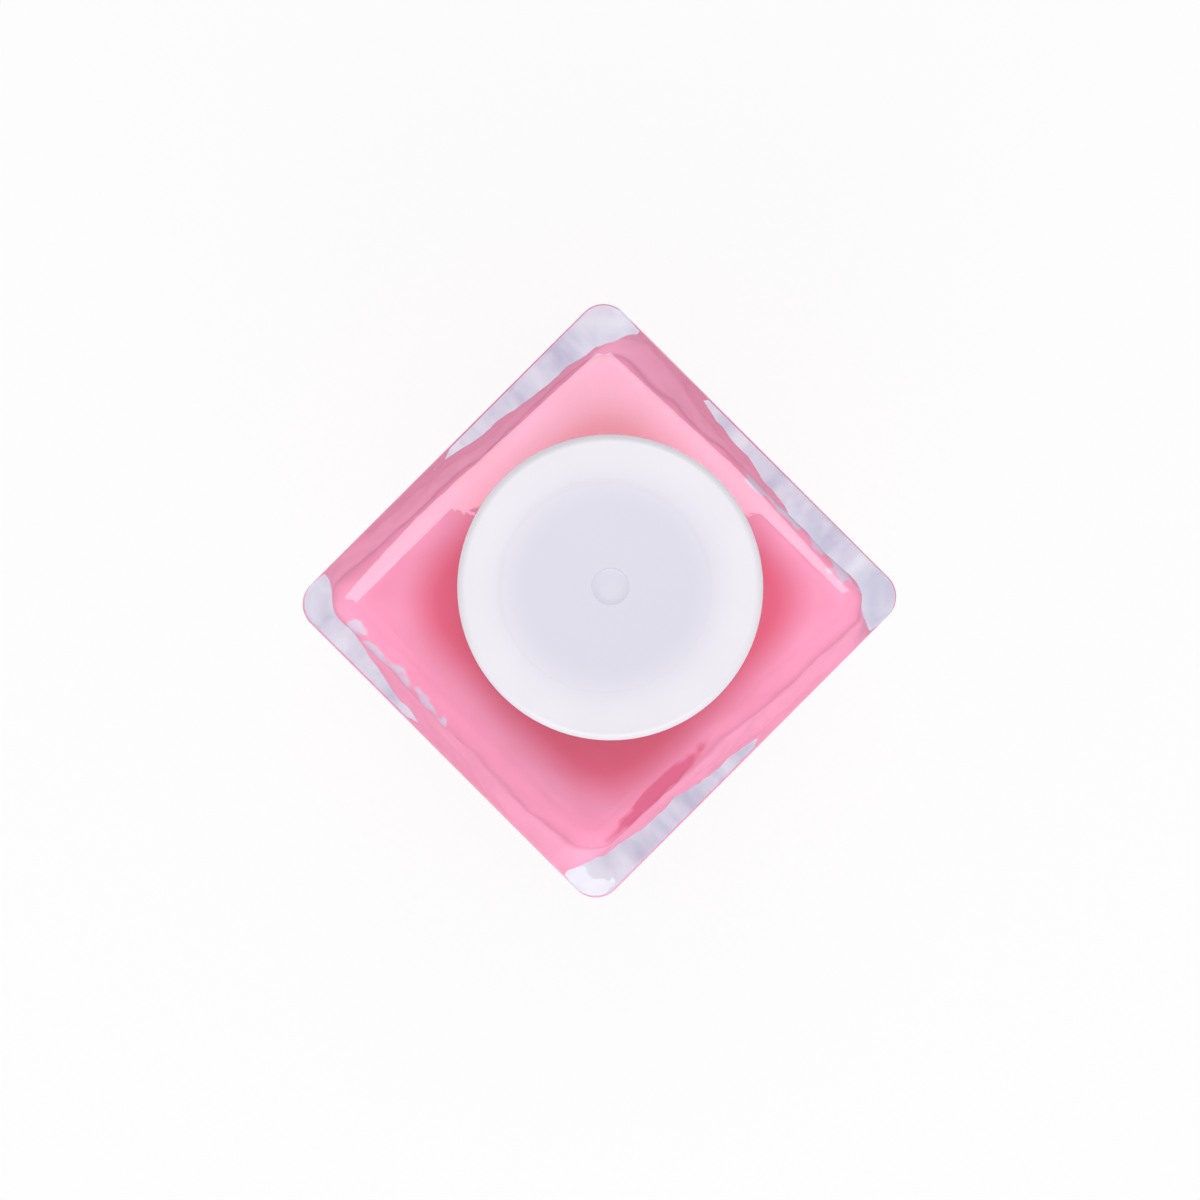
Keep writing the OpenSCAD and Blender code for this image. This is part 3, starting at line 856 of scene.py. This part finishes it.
def soft_box(name, low, high, half, radiance, mirrored):
    """A level light sheet over the bottle: from angle low to high towards the far side, and half
    to either side. Gloss and glass show it only if it is mirrored."""
    near, far = BOX_ABOVE * math.tan(math.radians(low)), BOX_ABOVE * math.tan(math.radians(high))
    width = 2 * BOX_ABOVE * math.tan(math.radians(half))
    light = bpy.data.lights.new(name, "AREA")
    light.shape = "RECTANGLE"
    light.size, light.size_y = width, far - near
    light.energy = radiance * math.pi * light.size * light.size_y
    lamp = bpy.data.objects.new(name, light)
    bpy.context.scene.collection.objects.link(lamp)
    lamp.visible_glossy = mirrored
    place = Vector((0, 0, SHOULDER_Z + BOX_ABOVE)) + FAR_SIDE * (near + far) / 2
    lamp.matrix_world = Matrix.Translation(place) @ Matrix((RIGHT_SIDE, FAR_SIDE, UP)).transposed().to_4x4()


def side_fill(name, turn, fall, distance, size, share):
    """A wide soft light at the side: turn about the upright axis from +X, fall from straight above, in
    degrees, and the share of white that it gives a level surface."""
    a, b = math.radians(turn), math.radians(fall)
    towards = Vector((math.cos(a) * math.sin(b), math.sin(a) * math.sin(b), math.cos(b)))
    light = bpy.data.lights.new(name, "AREA")
    light.shape = "RECTANGLE"
    light.size, light.size_y = size
    light.energy = share * math.pi ** 2 * distance ** 2 / math.cos(b)
    lamp = bpy.data.objects.new(name, light)
    bpy.context.scene.collection.objects.link(lamp)
    lamp.location = Vector((0, 0, SHOULDER_Z)) + towards * distance
    lamp.rotation_euler = towards.to_track_quat("Z", "Y").to_euler()


def overhead_camera():
    """Nearly straight above the cap, leaning a little, with the square standing on its corner."""
    above_shoulder = 270 * MM
    lean = math.radians(1.58)
    away = Vector((0.104, -0.995, 0)).normalized()
    target = Vector((0, 0, SHOULDER_Z))
    place = target + above_shoulder * (UP * math.cos(lean) + away * math.sin(lean))
    back = (place - target).normalized()
    top = back.cross(RIGHT_SIDE).normalized()
    right = top.cross(back)
    data = bpy.data.cameras.new("overhead_camera")
    data.sensor_width = 36
    data.lens = 110.6
    data.clip_start = 0.01
    camera = bpy.data.objects.new("overhead_camera", data)
    bpy.context.scene.collection.objects.link(camera)
    camera.matrix_world = Matrix.Translation(place) @ Matrix((right, top, back)).transposed().to_4x4()
    bpy.context.scene.camera = camera


overhead_camera()
pale_floor()
white_room(fill=0.5)
soft_box("overhead_softbox", low=7.5, high=15, half=15, radiance=4.8, mirrored=True)
soft_box("overhead_softbox_back", low=15, high=27, half=12.5, radiance=3.8, mirrored=False)
soft_box("overhead_softbox_hem", low=3.2, high=7.5, half=12.5, radiance=4.2, mirrored=True)
side_fill("near_fill", turn=-45, fall=48, distance=700 * MM, size=(900 * MM, 400 * MM), share=0.33)

bpy.context.scene.view_settings.view_transform = "Standard"
